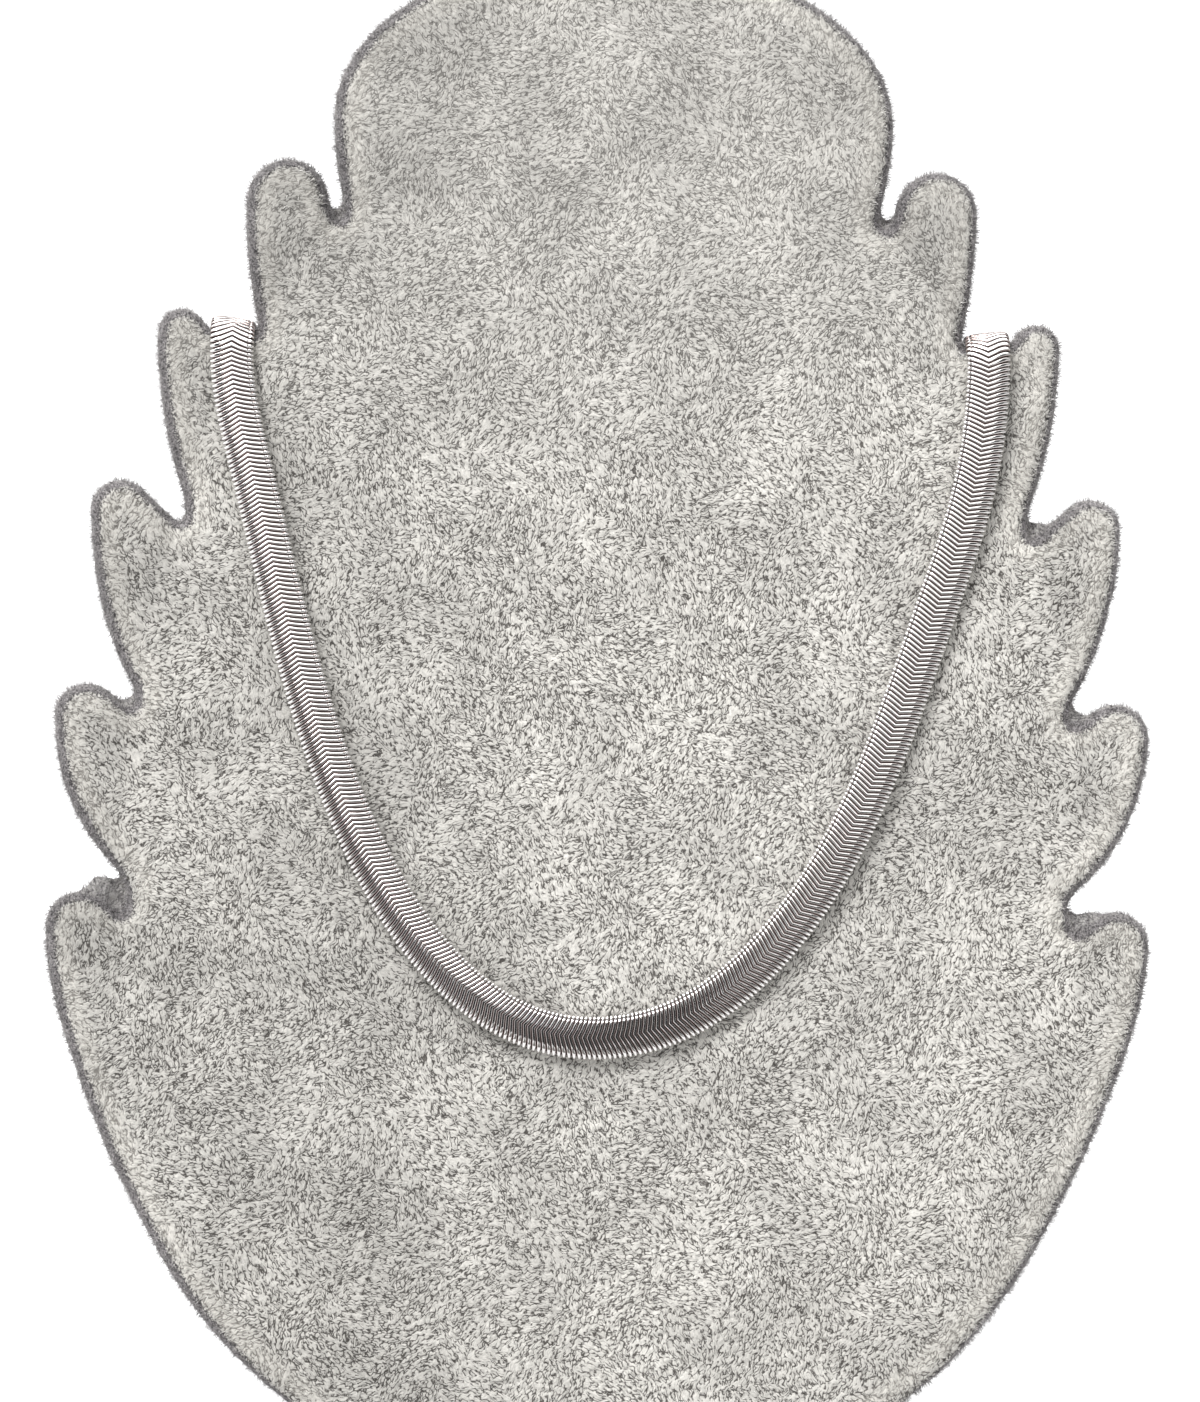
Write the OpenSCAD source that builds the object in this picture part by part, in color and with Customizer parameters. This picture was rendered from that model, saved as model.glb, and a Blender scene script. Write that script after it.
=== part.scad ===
// Flat snake chain necklace hung on a padded, leaf-shaped display board with an easel leg.
// Millimetres. The board leans back from upright, faces -Y and stands on z = 0.
// Board coordinates are [u, h, w]: u to the right, h up the board from its foot, w out of its front face.

/* [Display board] */
// Lean of the board back from upright, in degrees
lean = 12; // [8:1:16]
// Thickness of the padded board
board_t = 8; // [7:0.5:9]
// Width of the rounded front edge, seen from the front
edge_in = 2.8; // [2:0.1:3]
// Depth of the rounded front edge
edge_deep = 3; // [2.5:0.5:3.5]
// Size of the small break along the back edge
back_break = 0.8; // [0.4:0.1:1]

/* [Back panel] */
// Thickness of the card panel on the back
panel_t = 1.5; // [1:0.1:2]
// Gap that glued flat faces keep
glue_gap = 0.1; // [0.05:0.05:0.2]

/* [Easel leg] */
// Distance of the leg's foot behind the board's front edge
leg_reach = 100; // [80:1:120]
// Height of the leg's crease up the board
crease_h = 128; // [100:1:134]
// Length of the glued flap above the crease
flap_len = 24; // [12:1:26]
// Thickness of the flap
flap_t = 2; // [1.5:0.1:2.5]
// Thickness of the leg, measured level
leg_t = 3; // [2.6:0.1:5]
// Width of the leg at the top of its flap
leg_top_w = 36; // [24:1:50]
// Width of the leg at the floor
leg_foot_w = 58; // [40:1:80]

/* [Chain] */
// Width of the flat chain
chain_w = 8; // [6:0.1:8]
// Thickness at the middle of the chain
chain_t = 2.3; // [1.6:0.1:2.4]
// Clearance between the chain and the plush
chain_gap = 0.3; // [0.25:0.05:0.5]

/* [Caps and clasp] */
// Length of an end cap
cap_len = 8.4; // [8:0.1:9]
// Wall of an end cap
cap_wall = 0.5; // [0.4:0.1:0.6]
// Depth of the pocket that holds the chain's end
cap_pocket = 5; // [3:0.5:6]
// Wire radius of a soldered loop
loop_wire = 0.45; // [0.4:0.05:0.5]
// Radius of the middle of a loop's wire
loop_r = 1.65; // [1.65:0.05:1.8]
// Thickness of the clasp
clasp_t = 1.5; // [1:0.1:1.6]
// Half length of the clasp
clasp_half = 7.8; // [7.6:0.1:8.4]
// Bar width of the clasp's two ends
clasp_bar = 1.3; // [1:0.1:1.4]

/* [Hidden] */

// Lobes from the top down: outer half width, height of the tip's centre, tip radius, radius of the side below
LOBES = [
    [66, 227.5, 7.4, 100],
    [81.5, 203.2, 4.45, 84],
    [93, 170.8, 5.6, 64],
    [98.8, 133.5, 6, 38],
    [99.6, 96, 6, 50]
];
// Notches from the top down: half width and height of the rounded bottom's centre, its radius,
// height at which the straight wall meets the side above
NOTCHES = [
    [49.3, 225.1, 1.1, 228],
    [64.5, 204, 1, 206],
    [76.9, 170, 1, 174],
    [85.2, 136.5, 1, 139],
    [86.2, 99, 1, 104]
];
// The notch that holds the chain and the slope of its floor, rising outwards, in degrees
seat = 1;
seat_slope = 8;
// Flank arcs from the lowest lobe down to the foot: radius, heading at the end in degrees off upright
FLANK = [[50, 16], [190, 32], [85, 68]];
flank_steps = 8;
// Below this height the flank is stretched so that every level of the board ends flat on the floor
flank_low = 34;
// Crown: half width, rise of its oval, height of its widest place, radius of its side below
CROWN = [50.5, 30.5, 243, 60];

// Back panel, arcs of its right half from the foot up: centre's u and h, radius, first angle, last angle
PANEL = [[3, 70, 75, -55.8, 0], [-159, 100, 237, 0, 34.7], [0, 210, 43.5, 34.7, 86]];

// Guide points of the chain's middle line on the front, left notch to right notch: [u, h]
FRONT = [
    [-63.5, 178], [-58, 155.5], [-51.5, 133], [-43, 111.5], [-31, 91.5], [-12, 76.5],
    [12.5, 77.5], [31, 92], [44, 112], [52.5, 133], [59.5, 155.5], [67, 177.5]
];
// Guide points of the hidden stretch behind the board, notch to clasp, the same on both sides: [u, h]
BACK = [[66, 187], [57, 176.5], [45.5, 171], [34, 168.5], [23, 168]];
clasp_h = 168;
// Half widths of the guides at the notches: left front, right front, back
NOTCH_U = [-70, 69, 68.5];

// Half section of the chain, edge to middle: share of the half width, share of the half thickness
SECTION = [[1, 0], [0.9, 0.56], [0.5, 0.87], [0, 1]];

// Play around the chain in a cap, height of the seat's floor under the chain, air behind the panel
pocket_play = 0.3;
seat_top = 203.5;
hang_air = 0.2;
cap_round = 1;
// Clasp: outer radius and centre of the eye, outer radius of the body, where its opening ends
eye_r = 2.3;
body_r = 2.9;
body_in = 1.2;
// Rings on each guide step of the front and of the back, and on each quarter turn
front_steps = 3;
back_steps = 2;
bend_steps = 4;
far = 400;

// Levels along w and centres of the bends, as [h, w]
front_w = chain_gap + chain_t / 2;
back_face = -board_t - glue_gap - panel_t;
back_w = back_face - hang_air - loop_r - loop_wire;
bend_r = [edge_deep + front_w, -board_t + 0.4 - back_w];
bend_h = [seat_top - edge_deep, seat_top - edge_deep + bend_r[0] - bend_r[1]];
bend_w = [-edge_deep, -board_t + 0.4];
// Caps: where the soldered loop meets the cap, outer width and thickness, the chain's end
cap_face = clasp_half - clasp_bar / 2 + loop_r;
cap_w = chain_w + pocket_play + 2 * cap_wall;
cap_t = chain_t + pocket_play + 2 * cap_wall;
chain_end = cap_face + cap_len - cap_pocket + pocket_play;

// Points of an arc about c from angle a to angle b
function arc(c, r, a, b, n) = [for (i = [0:n]) c + r * [cos(a + (b - a) * i / n), sin(a + (b - a) * i / n)]];
function mirrored(pts) = [for (i = [len(pts) - 1:-1:0]) [-pts[i][0], pts[i][1]]];
function upward(pts) = [for (i = [len(pts) - 1:-1:0]) pts[i]];

// Centres of a lobe's tip, of the side below it and of a notch's bottom
function tip_c(k) = [LOBES[k][0] - LOBES[k][2], LOBES[k][1]];
function side_c(k) = [LOBES[k][0] - LOBES[k][3], LOBES[k][1]];
function notch_c(k) = [NOTCHES[k][0], NOTCHES[k][1]];

// Way the shoulder under a notch faces: the seat's floor is sloped, the others touch both rounds
function shoulder_face(k) =
    let (d = notch_c(k) - tip_c(k), way = (atan2(d[1], d[0]) + 360) % 360)
    k == seat ? 90 + seat_slope : way - acos((LOBES[k][2] + NOTCHES[k][2]) / norm(d));
function shoulder_dir(k) = [cos(shoulder_face(k)), sin(shoulder_face(k))];

// Angle at which a lobe's tip ends on its shoulder
function tip_end(k) =
    let (q = notch_c(k) - NOTCHES[k][2] * shoulder_dir(k) - tip_c(k))
    shoulder_face(k) + acos(min(1, q * shoulder_dir(k) / LOBES[k][2]));

// Side of the lobe above a notch, then tip, shoulder and notch bottom, going up the right side
function side_pts(k) =
    let (drop = asin((LOBES[k][1] - NOTCHES[k + 1][3]) / LOBES[k][3]))
    arc(side_c(k), LOBES[k][3], -drop, -drop / 6, 5);
function lobe_pts(k) = concat(
    arc(tip_c(k), LOBES[k][2], 0, tip_end(k), 8),
    arc(notch_c(k), NOTCHES[k][2], shoulder_face(k) + 180, 180, 4));
function crown_pts() =
    let (drop = asin((CROWN[2] - NOTCHES[0][3]) / CROWN[3]))
    concat(
        arc([CROWN[0] - CROWN[3], CROWN[2]], CROWN[3], -drop, -drop / 4, 3),
        [for (t = [0:7.5:82.5]) [CROWN[0] * cos(t), CROWN[2] + CROWN[1] * sin(t)]]);

// Flank from the lowest lobe down to the foot, each arc tangent to the one before
function flank(i, p, a) =
    i == len(FLANK) ? [] :
    let (pts = arc(p - FLANK[i][0] * [cos(a), -sin(a)], FLANK[i][0], -a, -FLANK[i][1], flank_steps))
    concat([for (j = [1:flank_steps]) pts[j]], flank(i + 1, pts[flank_steps], FLANK[i][1]));

function right_half() = concat(
    upward(flank(0, [LOBES[4][0], LOBES[4][1]], 0)),
    lobe_pts(4), side_pts(3), lobe_pts(3), side_pts(2), lobe_pts(2), side_pts(1), lobe_pts(1), side_pts(0),
    lobe_pts(0), crown_pts());
function outline() = concat(right_half(), [[0, CROWN[2] + CROWN[1]]], mirrored(right_half()));

// The outline moved in by d, each point square to the line between its neighbours
function inset(pts, d) =
    let (n = len(pts))
    [for (i = [0:n - 1])
        let (v = pts[(i + 1) % n] - pts[(i + n - 1) % n])
        pts[i] - d * [v[1], -v[0]] / norm(v)];

// Closed solid through rings of equally many points, from the first ring to the last
module loft(rings) {
    n = len(rings[0]);
    m = len(rings);
    points = [for (r = rings) for (p = r) p];
    walls = [for (j = [0:m - 2]) for (i = [0:n - 1])
        [j * n + i, j * n + (i + 1) % n, (j + 1) * n + (i + 1) % n, (j + 1) * n + i]];
    first = [for (i = [n - 1:-1:0]) i];
    last = [for (i = [0:n - 1]) (m - 1) * n + i];
    polyhedron(points, concat(walls, [first, last]), convexity = 10);
}

// Stands the board's own coordinates up in the part's frame
module stand_up() {
    translate([0, -leg_reach / 2, 0])
        rotate([90 - lean, 0, 0])
            children();
}
function upright(p) = [
    p[0],
    p[1] * sin(lean) - p[2] * cos(lean) - leg_reach / 2,
    p[1] * cos(lean) + p[2] * sin(lean)
];

// The outline moved in by l[0] at the level l[1], with its lowest points on the floor
function board_ring(l) =
    let (pts = inset(outline(), l[0]), low = min([for (p = pts) p[1]]), ground = -l[1] * tan(lean))
    let (stretch = (flank_low - ground) / (flank_low - low))
    [for (p = pts) upright([p[0], p[1] > flank_low ? p[1] : flank_low - (flank_low - p[1]) * stretch, l[1]])];

module display_board() {
    edge = [for (t = [0:30:90]) [edge_in * (1 - sin(t)), -edge_deep * (1 - cos(t))]];
    levels = concat(edge, [[0, -board_t + back_break], [back_break, -board_t]]);
    color("lightgray")
        loft([for (l = levels) board_ring(l)]);
}

module back_panel() {
    half = [for (a = PANEL) for (p = arc([a[0], a[1]], a[2], a[3], a[4], 9)) p];
    color("darkgray")
        stand_up()
            translate([0, 0, back_face])
                linear_extrude(panel_t)
                    polygon(concat(half, mirrored(half)));
}

// Side view of the leg as [y, z]: flap down the panel, then the leg to the floor
module easel_leg() {
    function side_view(h, w) = [upright([0, h, w])[1], upright([0, h, w])[2]];
    flap_w = back_face - glue_gap;
    crease = side_view(crease_h, flap_w);
    flap_top = side_view(crease_h + flap_len, flap_w);
    side = [
        flap_top,
        crease,
        [leg_reach / 2 - leg_t, 0],
        [leg_reach / 2, 0],
        crease + [leg_t, 0],
        side_view(crease_h + flap_len, flap_w - flap_t)
    ];
    front = [
        [-leg_foot_w / 2, 0],
        [leg_foot_w / 2, 0],
        [leg_top_w / 2, flap_top[1]],
        [-leg_top_w / 2, flap_top[1]]
    ];
    color("gray")
        intersection() {
            rotate([90, 0, 90])
                translate([0, 0, -far / 2])
                    linear_extrude(far)
                        polygon(side);
            rotate([90, 0, 0])
                translate([0, 0, -far / 2])
                    linear_extrude(far)
                        polygon(front);
        }
}

// Smooth cubic through four guide points, and its heading
function blend(g, i, t) = (
    pow(1 - t, 3) * g[i] + (3 * pow(t, 3) - 6 * t * t + 4) * g[i + 1]
    + (-3 * pow(t, 3) + 3 * t * t + 3 * t + 1) * g[i + 2] + pow(t, 3) * g[i + 3]) / 6;
function heading(g, i, t) =
    let (v = -pow(1 - t, 2) * g[i] + (3 * t * t - 4 * t) * g[i + 1]
        + (-3 * t * t + 2 * t + 1) * g[i + 2] + t * t * g[i + 3])
    v / norm(v);
function sweep_line(g, steps) = concat(
    [for (i = [0:len(g) - 4]) for (j = [0:steps - 1]) [blend(g, i, j / steps), heading(g, i, j / steps)]],
    [[blend(g, len(g) - 4, 1), heading(g, len(g) - 4, 1)]]);

// Guides carried on past both ends, so that the lines leave the notches straight and end level at the caps
function front_guides() =
    let (a = FRONT[0], b = FRONT[len(FRONT) - 1])
    concat([[a[0], 2 * bend_h[0] - a[1]], [NOTCH_U[0], bend_h[0]]], FRONT,
        [[NOTCH_U[1], bend_h[0]], [b[0], 2 * bend_h[0] - b[1]]]);
function back_guides() =
    let (a = BACK[0], b = BACK[len(BACK) - 1])
    concat([[a[0], 2 * bend_h[1] - a[1]], [NOTCH_U[2], bend_h[1]]], BACK,
        [[chain_end, clasp_h], [2 * chain_end - b[0], clasp_h]]);

// A ring of the chain about point c, outer edge towards a, face towards b
function ring(c, a, b) =
    let (half = [for (s = SECTION) [s[0] * chain_w / 2, s[1] * chain_t / 2]])
    let (top = concat(half, [for (i = [2:-1:0]) [-half[i][0], half[i][1]]]))
    let (under = [for (i = [1:5]) [-top[i][0], -top[i][1]]])
    [for (q = concat(top, under)) upright(c + q[0] * a + q[1] * b)];

// Rings over the notch on side s, turn 0 in front to 180 behind; the chain rolls with the seat's floor
function bend_rings(s, front_u, back_u) = [for (q = [0, 1]) for (j = [(q == 0 ? 1 : 0):bend_steps - q])
    let (turn = 90 * q + 90 * j / bend_steps, roll = seat_slope * sin(turn))
    let (face = [0, sin(turn), cos(turn)], out = [s, 0, 0])
    let (c = [
        front_u + (back_u - front_u) * turn / 180,
        bend_h[q] + bend_r[q] * face[1],
        bend_w[q] + bend_r[q] * face[2]
    ])
    ring(c, out * cos(roll) + face * sin(roll), face * cos(roll) - out * sin(roll))];

module chain() {
    front = sweep_line(front_guides(), front_steps);
    back = sweep_line(back_guides(), back_steps);
    front_rings = [for (g = front) ring([g[0][0], g[0][1], front_w], [g[1][1], -g[1][0], 0], [0, 0, 1])];
    function back_rings(s) =
        [for (g = back) ring([s * g[0][0], g[0][1], back_w], [-s * g[1][1], g[1][0], 0], [0, 0, -1])];
    left_bend = bend_rings(-1, front[0][0][0], -back[0][0][0]);
    right_bend = bend_rings(1, front[len(front) - 1][0][0], back[0][0][0]);
    color("silver")
        loft(concat(upward(back_rings(-1)), upward(left_bend), front_rings, right_bend, back_rings(1)));
}

// Rectangle with rounded corners, about the middle
module rounded(w, t, r) {
    square([w, t - 2 * r], center = true);
    square([w - 2 * r, t], center = true);
    for (x = [-1, 1], y = [-1, 1])
        translate([x * (w / 2 - r), y * (t / 2 - r)])
            circle(r, $fn = 32);
}

// Pressed box cap with its pocket towards +u and its soldered loop towards the clasp
module cap() {
    translate([cap_face, clasp_h, back_w])
        difference() {
            union() {
                rotate([90, 0, 90])
                    linear_extrude(cap_len)
                        rounded(cap_w, cap_t, cap_round);
                translate([-loop_r, 0, 0])
                    rotate([90, 0, 0])
                        rotate_extrude($fn = 48)
                            translate([loop_r, 0])
                                circle(loop_wire, $fn = 24);
            }
            translate([cap_len - cap_pocket, 0, 0])
                rotate([90, 0, 90])
                    linear_extrude(cap_pocket + 1)
                        rounded(cap_w - 2 * cap_wall, cap_t - 2 * cap_wall, cap_round - cap_wall);
        }
}

module end_cap_left() {
    color("silver")
        stand_up()
            mirror([1, 0, 0])
                cap();
}

module end_cap_right() {
    color("silver")
        stand_up()
            cap();
}

// Claw-shaped body with a round eye in the left loop and a long opening in the right loop
module clasp() {
    eye_u = -clasp_half + eye_r;
    body_out = clasp_half - body_r;
    module long_round(r) {
        for (u = [body_in, body_out])
            translate([u, 0])
                circle(r, $fn = 48);
        translate([body_in, -r])
            square([body_out - body_in, 2 * r]);
    }
    color("silver")
        stand_up()
            translate([0, clasp_h, back_w - clasp_t / 2])
                linear_extrude(clasp_t)
                    difference() {
                        union() {
                            translate([eye_u, 0])
                                circle(eye_r, $fn = 48);
                            polygon([[eye_u, -2], [body_in, -body_r], [body_in, body_r], [eye_u, 2]]);
                            long_round(body_r);
                        }
                        translate([eye_u, 0])
                            circle(eye_r - clasp_bar, $fn = 32);
                        long_round(body_r - clasp_bar);
                    }
}

display_board();
back_panel();
easel_leg();
chain();
end_cap_left();
end_cap_right();
clasp();
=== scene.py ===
import bpy, bmesh, math
import numpy as np
from mathutils import Matrix, Vector, kdtree


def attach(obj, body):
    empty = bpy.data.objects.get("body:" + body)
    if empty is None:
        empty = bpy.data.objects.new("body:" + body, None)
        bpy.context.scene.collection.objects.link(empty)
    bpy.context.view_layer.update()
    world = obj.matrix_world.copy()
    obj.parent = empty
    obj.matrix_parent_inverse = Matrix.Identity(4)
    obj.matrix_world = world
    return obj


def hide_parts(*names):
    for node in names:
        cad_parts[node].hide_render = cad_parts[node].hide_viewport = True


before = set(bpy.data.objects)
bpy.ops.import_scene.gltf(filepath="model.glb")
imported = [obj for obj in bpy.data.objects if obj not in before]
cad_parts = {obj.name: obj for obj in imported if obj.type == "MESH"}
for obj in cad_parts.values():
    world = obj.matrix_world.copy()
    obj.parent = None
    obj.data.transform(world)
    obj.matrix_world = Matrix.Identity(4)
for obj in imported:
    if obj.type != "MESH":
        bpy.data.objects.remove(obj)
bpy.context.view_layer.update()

MM = 0.001
LEAN = math.radians(12)
BOARD_FOOT_Y = -50 * MM
COUNTER_HALF, COUNTER_GLOW = 4.0, 0.55
COUNTER_WHITE, COUNTER_SHADED = (0.60, 0.60, 0.60, 1), (0.07, 0.065, 0.06, 1)
# how far the camera stands off the board's face, what it looks at across and up the board, and how much it sees
VIEW_FROM, VIEW_CENTRE, VIEW_HEIGHT = 1500, (-0.31, 138.2), 252.4
FILM_HEIGHT = 24
PHOTO_TURN = math.radians(1.164)
# the brightness of the room that the silver mirrors
WALLS_LOW, WALLS_HIGH, CEILING, BOTH_SIDES, LEFT_SIDE = 0.035, 0.34, 1.4, 0.35, 0.85


def on_board(u, h, w):
    """A point by its place across the board, up the board and out of its face, in millimetres."""
    y = h * math.sin(LEAN) - w * math.cos(LEAN)
    z = h * math.cos(LEAN) + w * math.sin(LEAN)
    return Vector((u * MM, y * MM + BOARD_FOOT_Y, z * MM))


def board_way(u, h, w):
    """The same for a direction."""
    return on_board(u, h, w) - on_board(0, 0, 0)


def new_object(name, bm):
    mesh = bpy.data.meshes.new(name)
    bm.to_mesh(mesh)
    bm.free()
    obj = bpy.data.objects.new(name, mesh)
    bpy.context.scene.collection.objects.link(obj)
    return obj


def new_material(name, **skin_values):
    mat = bpy.data.materials.new(name)
    mat.use_nodes = True
    skin = mat.node_tree.nodes["Principled BSDF"]
    for key, value in skin_values.items():
        skin.inputs[key.replace("_", " ")].default_value = value
    return mat, mat.node_tree, skin


def add_node(tree, kind, settings=None, **inputs):
    made = tree.nodes.new(kind)
    for key, value in (settings or {}).items():
        setattr(made, key, value)
    for key, value in inputs.items():
        made.inputs[key.replace("_", " ")].default_value = value
    return made


def ramp(tree, value, low, high, from_value, to_value, smooth=True):
    """A value carried from low..high to from_value..to_value."""
    made = add_node(tree, "ShaderNodeMapRange", {"interpolation_type": "SMOOTHSTEP" if smooth else "LINEAR"},
                    From_Min=low, From_Max=high, To_Min=from_value, To_Max=to_value)
    tree.links.new(value, made.inputs["Value"])
    return made.outputs["Result"]


def combine(tree, operation, *values):
    """Values brought together one after another by a sum or a product."""
    result = values[0]
    for value in values[1:]:
        step = add_node(tree, "ShaderNodeMath", {"operation": operation})
        tree.links.new(result, step.inputs[0])
        tree.links.new(value, step.inputs[1])
        result = step.outputs[0]
    return result


def without_sign(tree, value):
    made = add_node(tree, "ShaderNodeMath", {"operation": "ABSOLUTE"})
    tree.links.new(value, made.inputs[0])
    return made.outputs[0]


def axes(tree, place):
    """A place's X, Y and Z."""
    made = add_node(tree, "ShaderNodeSeparateXYZ")
    tree.links.new(place, made.inputs[0])
    return made.outputs


def object_place(tree):
    return add_node(tree, "ShaderNodeTexCoord").outputs["Object"]


def blend_colour(tree, mask, colour, other):
    """A colour that turns to another where the mask is 1; either may be a node's output."""
    mixed = add_node(tree, "ShaderNodeMix", {"data_type": "RGBA"})
    for socket, given in ((0, mask), (6, colour), (7, other)):
        if isinstance(given, bpy.types.NodeSocket):
            tree.links.new(given, mixed.inputs[socket])
        else:
            mixed.inputs[socket].default_value = given
    return mixed.outputs[2]


counter_bm = bmesh.new()
bmesh.ops.create_grid(counter_bm, x_segments=1, y_segments=1, size=COUNTER_HALF)
counter = new_object("counter", counter_bm)
counter_mat, counter_tree, counter_skin = new_material("white_counter", Roughness=0.9, Emission_Color=(1, 1, 1, 1))
ray = add_node(counter_tree, "ShaderNodeLightPath")
counter_tree.links.new(ramp(counter_tree, ray.outputs["Is Camera Ray"], 0, 1, 0.0, COUNTER_GLOW),
                       counter_skin.inputs["Emission Strength"])
# in reflections the counter is dark in front of the display, where the room's light is blocked
counter_axes = axes(counter_tree, object_place(counter_tree))
mirrored_dark = combine(counter_tree, "MULTIPLY", ray.outputs["Is Glossy Ray"],
                        ramp(counter_tree, counter_axes["Y"], -0.16, -0.24, 0, 1),
                        ramp(counter_tree, without_sign(counter_tree, counter_axes["X"]), 0.30, 0.16, 0, 1))
counter_tree.links.new(blend_colour(counter_tree, mirrored_dark, COUNTER_WHITE, COUNTER_SHADED),
                       counter_skin.inputs["Base Color"])
counter.data.materials.append(counter_mat)

camera_data = bpy.data.cameras.new("camera")
camera_data.sensor_fit = "VERTICAL"
camera_data.sensor_height = FILM_HEIGHT
camera_data.lens = FILM_HEIGHT * VIEW_FROM / VIEW_HEIGHT
camera_data.clip_start = 0.05
camera_data.clip_end = 20
camera = bpy.data.objects.new("camera", camera_data)
bpy.context.scene.collection.objects.link(camera)
right, up, back = Vector((1, 0, 0)), board_way(0, 1, 0).normalized(), board_way(0, 0, 1).normalized()
turned_right = right * math.cos(PHOTO_TURN) + up * math.sin(PHOTO_TURN)
turned_up = up * math.cos(PHOTO_TURN) - right * math.sin(PHOTO_TURN)
camera.matrix_world = (Matrix.Translation(on_board(VIEW_CENTRE[0], VIEW_CENTRE[1], VIEW_FROM))
                       @ Matrix((turned_right, turned_up, back)).transposed().to_4x4())
bpy.context.scene.camera = camera


def lamp(name, place, aim, size, power, turn=0.0):
    """A soft rectangular lamp, with its size in metres and its power in watts."""
    data = bpy.data.lights.new(name, "AREA")
    data.shape = "RECTANGLE"
    data.size, data.size_y = size
    data.energy = power
    obj = bpy.data.objects.new(name, data)
    bpy.context.scene.collection.objects.link(obj)
    aimed = (Vector(aim) - Vector(place)).to_track_quat("-Z", "Y").to_matrix().to_4x4()
    obj.matrix_world = Matrix.Translation(place) @ aimed @ Matrix.Rotation(turn, 4, "Z")
    return obj


lamp("lamp_above", place=(-0.46, -0.58, 1.1), aim=(0, 0, 0.14), size=(0.6, 0.5), power=12)
# a soft box in front of the upper half of the board, which only the silver's reflections show
soft_box = lamp("lamp_front", place=on_board(5, 330, 400), aim=on_board(5, 330, 0), size=(0.26, 0.38),
                power=0.43, turn=math.radians(-6.6))
soft_box.visible_diffuse = False
lamp("lamp_behind", place=(0.0, 1.4, 1.6), aim=(0, 0.5, 0), size=(1.6, 1.0), power=14)

world = bpy.data.worlds.new("studio")
world.use_nodes = True
bpy.context.scene.world = world
room_tree = world.node_tree
towards = axes(room_tree, add_node(room_tree, "ShaderNodeTexCoord").outputs["Generated"])
room = combine(room_tree, "ADD",
               ramp(room_tree, towards["Z"], 0.38, 0.62, WALLS_LOW, WALLS_HIGH),
               ramp(room_tree, towards["Z"], 0.58, 0.78, 0.0, CEILING),
               ramp(room_tree, without_sign(room_tree, towards["X"]), 0.45, 0.8, 0.0, BOTH_SIDES),
               ramp(room_tree, towards["X"], -0.45, -0.75, 0.0, LEFT_SIDE))
# the camera itself sees plain white beyond the counter
seen = add_node(room_tree, "ShaderNodeMix", {"data_type": "FLOAT"}, B=1.0)
room_tree.links.new(add_node(room_tree, "ShaderNodeLightPath").outputs["Is Camera Ray"], seen.inputs["Factor"])
room_tree.links.new(room, seen.inputs["A"])
room_tree.links.new(seen.outputs["Result"], room_tree.nodes["Background"].inputs["Color"])
bpy.context.scene.view_settings.view_transform = "Standard"

# ---------------------------------------------------------------- display board
# A padded card board cut to a leaf with five notches a side, covered in light grey short-pile plush.
# The plush is stretched over the front and round the edge, and its raw edge is glued down behind.
COVER_CELL = 1.0
# clumps of pile to a metre, across and along the way the nap lies, and how deep the gaps between them are
CLUMPS_ACROSS, CLUMPS_ALONG = 2150.0, 830.0
CLUMP_DEPTH = 0.32
# patches to a metre in which the nap lies one way, how far their borders wander, and the nap's own waver
LIE_PATCHES, PATCH_WANDER = 130.0, 0.010
NAP_WAVES, NAP_WAVER = 800.0, 0.0012
BRUSHED_PATCHES = 70.0
# the padding under the plush rises and falls this far from the board's face, in millimetres
SWELLS, SWELL_LOW, SWELL_HIGH = 90.0, -0.25, 0.05
# specks of shade to a metre, on the plush and on its loose ends
PLUSH_SPECKS, FIBRE_SPECKS = 2600.0, 1500.0
# the plush's own colour, and the painted shade in the gaps between its clumps
PLUSH_LIGHT, PLUSH_GAP_SHADE = (0.665, 0.645, 0.605, 1), (0.100, 0.092, 0.084, 1)
PLUSH_CREAM = (0.80, 0.765, 0.70, 1)
# the painted shade on the plush where it turns over the edge
EDGE_SHADE_GREY, EDGE_SHADE_DARK = (0.32, 0.30, 0.305, 1), (0.055, 0.050, 0.055, 1)
# the thin bunches' edge shade, painted paler where the counter's light comes through
THIN_GREY, THIN_DARK = (0.52, 0.50, 0.505, 1), (0.22, 0.21, 0.215, 1)
# depths below the board's face: as far as the front shows, and the middle of the turned edge
FRONT_REACH = -7.0
EDGE_FRONT, EDGE_BACK = -2.6, -5.5
# the turned edge's painted shade begins and is full at these depths, lowered by this much all round, by this much
# more on sides that face right, and raised by as much on sides that face left
EDGE_TURN = (-0.15, -0.55)
EDGE_LOWER, EDGE_SHIFT = 0.15, 0.30
# the foot of each notch across and up the board, from the top one down
NOTCH_FEET = [(49.3, 225.1), (64.5, 204.0), (76.9, 170.0), (85.2, 136.5), (86.2, 99.0)]
# the valley of painted shade below a notch: its length, how far above the notch's foot it starts and comes in over,
# its width
VALLEY_LENGTH, VALLEY_ABOVE, VALLEY_IN, VALLEY_WIDTH = 26.0, 10.0, 6.0, 10.0
# how grey the left lobes are, and how far up the board that begins and comes in over
LEFT_LOBE_GREY, LOBES_FROM, LOBES_IN = 0.55, 60.0, 30.0
# the plush gathers in small bunches behind the notches: place, half sizes and turn in millimetres and degrees
BUNCHES = [(-88.9, 102.4, -4.6, 3.4, 2.2, 2.4, -40), (-86.6, 99.6, -5.0, 2.2, 2.4, 2.2, 20),
           (-91.4, 101.6, -5.6, 2.2, 1.6, 1.8, 0), (86.9, 99.9, -4.8, 3.2, 1.9, 2.2, 12),
           (89.4, 100.9, -5.4, 2.4, 1.3, 1.8, 0), (85.4, 136.4, -4.8, 2.0, 1.9, 2.0, 30),
           (-85.7, 135.0, -4.8, 1.6, 2.1, 2.0, 10), (78.2, 170.7, -4.8, 1.5, 1.6, 1.8, 0)]
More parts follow.
